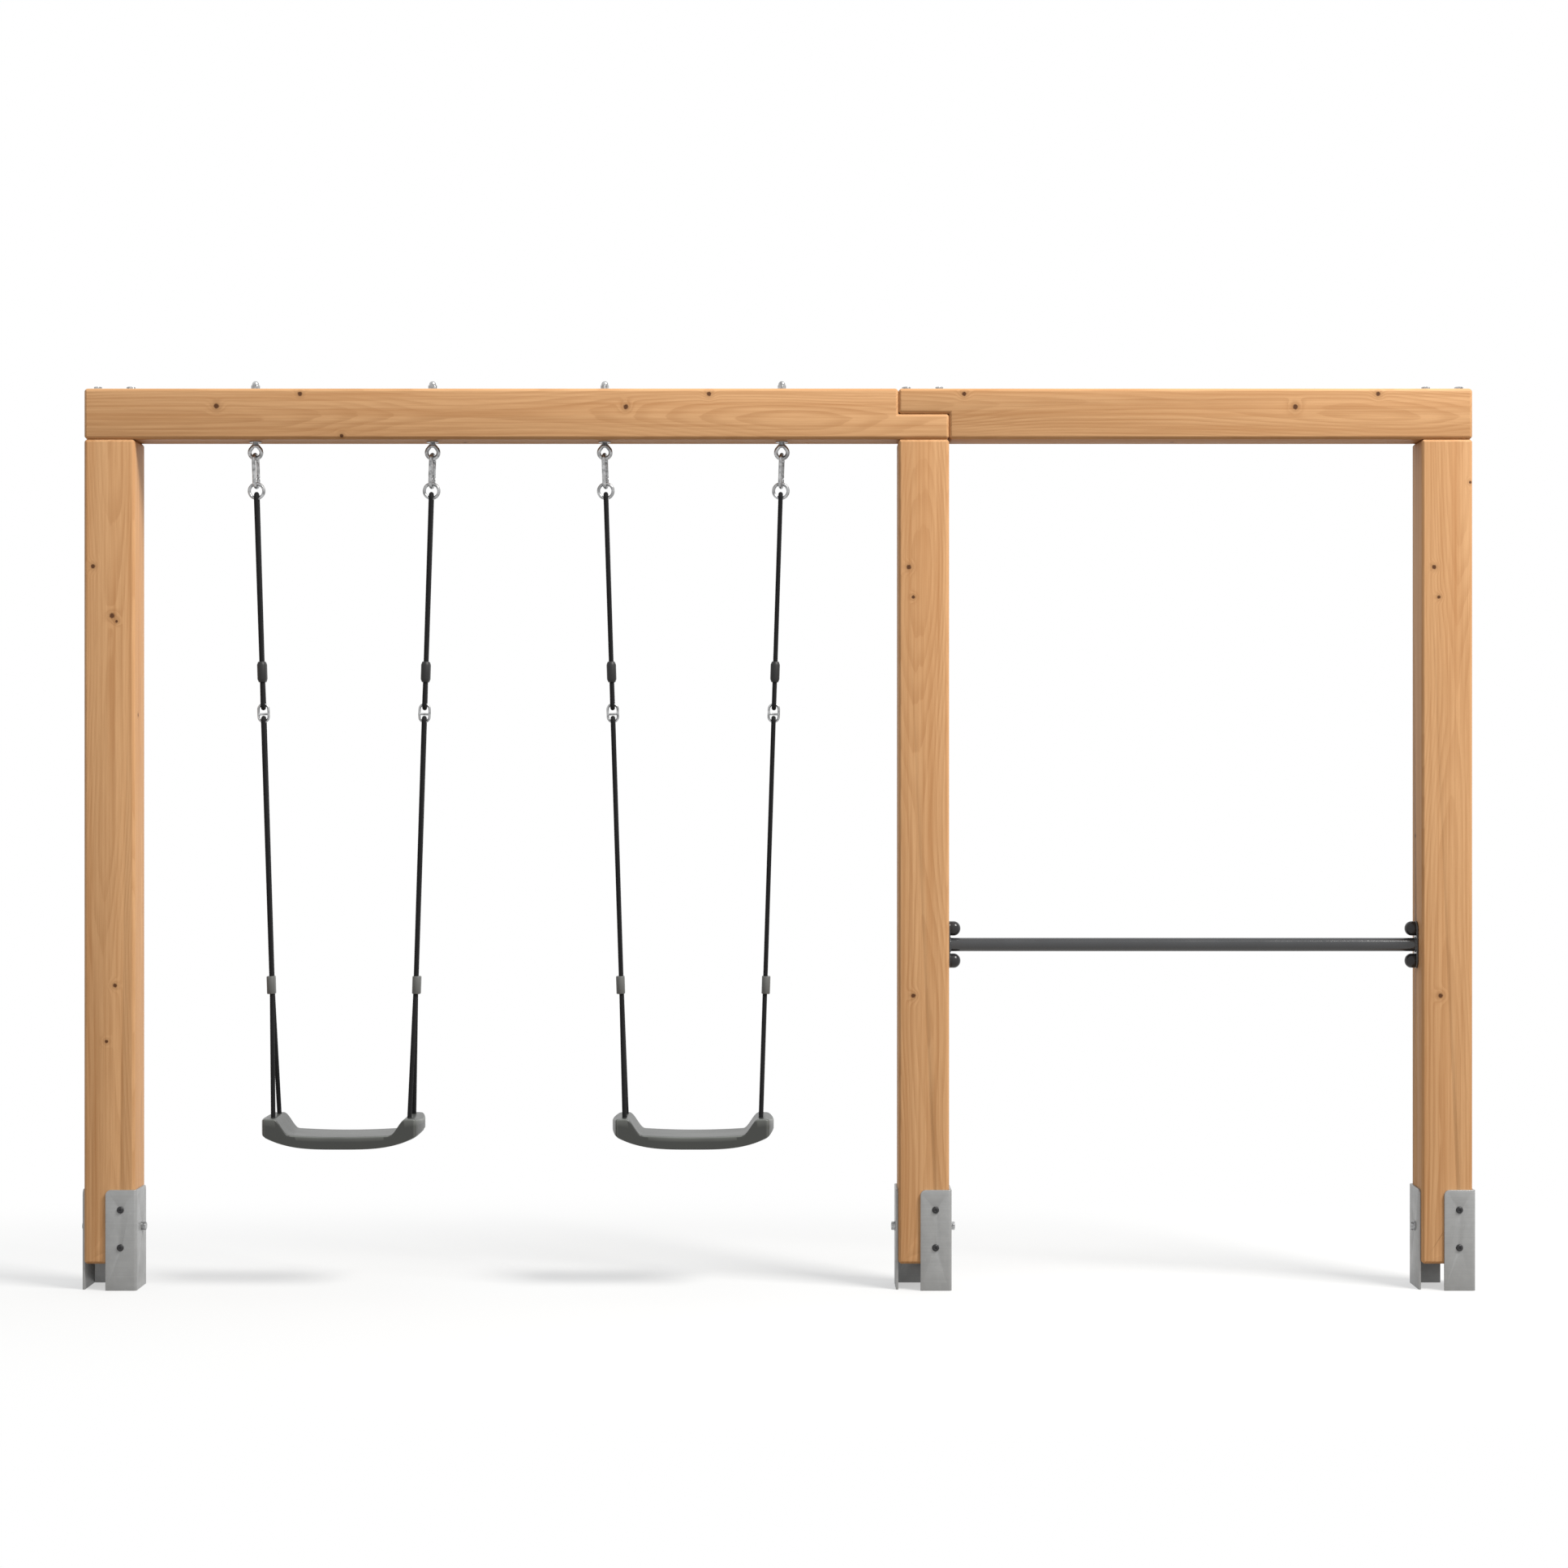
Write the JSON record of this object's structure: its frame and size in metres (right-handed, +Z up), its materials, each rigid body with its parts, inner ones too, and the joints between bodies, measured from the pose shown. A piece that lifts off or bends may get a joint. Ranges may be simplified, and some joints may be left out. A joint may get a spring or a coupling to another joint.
{
  "type": "swing set",
  "caption": "Timber swing frame on steel ground anchors, with rope-hung moulded seats on spring hooks and a steel tumbling bar beside them.",
  "frame": {"origin": "on the ground under the middle of the frame", "axes": "+X along the beam towards the tumbling bar, +Y the way the swings move, to the back, +Z up"},
  "size_m": [3.4585, 0.176, 2.25],
  "materials": {
    "timber": "light orange-brown pine, oiled, satin",
    "galvanised_steel": "hot-dip galvanised, dull",
    "zinc_steel": "bright zinc plated",
    "dark_screw": "black coated",
    "bar_paint": "dark grey gloss powder coat",
    "cap_plastic": "black gloss",
    "rope": "black braid",
    "sleeve_plastic": "dark grey moulding",
    "clip_plastic": "mid grey moulding",
    "seat_plastic": "dark grey moulding, satin"
  },
  "bodies": {
    "frame": {"left_post": "timber", "middle_post": "timber", "right_post": "timber", "swing_beam": "timber", "bar_beam": "timber", "left_front_anchor": "galvanised_steel", "left_rear_anchor": "galvanised_steel", "middle_front_anchor": "galvanised_steel", "middle_rear_anchor": "galvanised_steel", "right_front_anchor": "galvanised_steel", "right_rear_anchor": "galvanised_steel", "anchor_through_bolts": "zinc_steel", "anchor_bolt_nuts": "zinc_steel", "anchor_flange_screws": "dark_screw", "beam_coach_screws": "zinc_steel", "beam_screw_washers": "zinc_steel", "swing_eye_bolts": "zinc_steel", "eye_bolt_washers": "zinc_steel", "eye_bolt_cap_nuts": "zinc_steel", "tumbling_bar": "bar_paint", "bar_left_flange": "bar_paint", "bar_right_flange": "bar_paint", "bar_flange_screws": "zinc_steel", "bar_screw_caps": "cap_plastic"},
    "left_swing_left_hook": {"left_swing_left_hook": "zinc_steel"},
    "left_swing_left_gate": {"left_swing_left_gate": "zinc_steel"},
    "left_swing_right_hook": {"left_swing_right_hook": "zinc_steel"},
    "left_swing_right_gate": {"left_swing_right_gate": "zinc_steel"},
    "left_swing": {"left_swing_left_ring": "zinc_steel", "left_swing_left_upper_rope": "rope", "left_swing_left_sleeve": "sleeve_plastic", "left_swing_left_link": "zinc_steel", "left_swing_left_lower_rope": "rope", "left_swing_left_clip": "clip_plastic", "left_swing_right_ring": "zinc_steel", "left_swing_right_upper_rope": "rope", "left_swing_right_sleeve": "sleeve_plastic", "left_swing_right_link": "zinc_steel", "left_swing_right_lower_rope": "rope", "left_swing_right_clip": "clip_plastic", "left_seat": "seat_plastic"},
    "right_swing_left_hook": {"right_swing_left_hook": "zinc_steel"},
    "right_swing_left_gate": {"right_swing_left_gate": "zinc_steel"},
    "right_swing_right_hook": {"right_swing_right_hook": "zinc_steel"},
    "right_swing_right_gate": {"right_swing_right_gate": "zinc_steel"},
    "right_swing": {"right_swing_left_ring": "zinc_steel", "right_swing_left_upper_rope": "rope", "right_swing_left_sleeve": "sleeve_plastic", "right_swing_left_link": "zinc_steel", "right_swing_left_lower_rope": "rope", "right_swing_left_clip": "clip_plastic", "right_swing_right_ring": "zinc_steel", "right_swing_right_upper_rope": "rope", "right_swing_right_sleeve": "sleeve_plastic", "right_swing_right_link": "zinc_steel", "right_swing_right_lower_rope": "rope", "right_swing_right_clip": "clip_plastic", "right_seat": "seat_plastic"}
  },
  "joints": [
    {"name": "left_swing_left_hook_hang", "type": "hinge", "parent": "frame", "child": "left_swing_left_hook", "pos_m": [-1.2995, 0, 2.058], "axis": [1, 0, 0], "range_deg": [-60, 60]},
    {"name": "left_swing_left_gate_hinge", "type": "hinge", "parent": "left_swing_left_hook", "child": "left_swing_left_gate", "pos_m": [-1.29518, 0.01369, 2.01331], "axis": [0.9777, -0.2079, 0.0309], "range_deg": [0, 22], "stiffness_Nm_per_rad": 0.08, "springref_deg": -20.05},
    {"name": "left_swing_right_hook_hang", "type": "hinge", "parent": "frame", "child": "left_swing_right_hook", "pos_m": [-0.8595, 0, 2.058], "axis": [1, 0, 0], "range_deg": [-60, 60]},
    {"name": "left_swing_right_gate_hinge", "type": "hinge", "parent": "left_swing_right_hook", "child": "left_swing_right_gate", "pos_m": [-0.85801, 0.01369, 2.01313], "axis": [0.9777, -0.2079, -0.0309], "range_deg": [0, 22], "stiffness_Nm_per_rad": 0.08, "springref_deg": -20.05},
    {"name": "left_swing_ring_pivot", "type": "hinge", "parent": "left_swing_left_hook", "child": "left_swing", "pos_m": [-1.29751, 0, 1.99503], "axis": [1, 0, 0], "range_deg": [-20, 20]},
    {"name": "right_swing_left_hook_hang", "type": "hinge", "parent": "frame", "child": "right_swing_left_hook", "pos_m": [-0.4315, 0, 2.058], "axis": [1, 0, 0], "range_deg": [-60, 60]},
    {"name": "right_swing_left_gate_hinge", "type": "hinge", "parent": "right_swing_left_hook", "child": "right_swing_left_gate", "pos_m": [-0.42718, 0.01369, 2.01331], "axis": [0.9777, -0.2079, 0.0309], "range_deg": [0, 22], "stiffness_Nm_per_rad": 0.08, "springref_deg": -20.05},
    {"name": "right_swing_right_hook_hang", "type": "hinge", "parent": "frame", "child": "right_swing_right_hook", "pos_m": [0.0085, 0, 2.058], "axis": [1, 0, 0], "range_deg": [-60, 60]},
    {"name": "right_swing_right_gate_hinge", "type": "hinge", "parent": "right_swing_right_hook", "child": "right_swing_right_gate", "pos_m": [0.01, 0.01369, 2.01313], "axis": [0.9777, -0.2079, -0.0309], "range_deg": [0, 22], "stiffness_Nm_per_rad": 0.08, "springref_deg": -20.05},
    {"name": "right_swing_ring_pivot", "type": "hinge", "parent": "right_swing_left_hook", "child": "right_swing", "pos_m": [-0.42951, 0, 1.99503], "axis": [1, 0, 0], "range_deg": [-20, 20]}
  ],
  "couplings": [
    {"joint": "left_swing_right_hook_hang", "follows": "left_swing_left_hook_hang", "ratio": 1},
    {"joint": "right_swing_right_hook_hang", "follows": "right_swing_left_hook_hang", "ratio": 1}
  ]
}
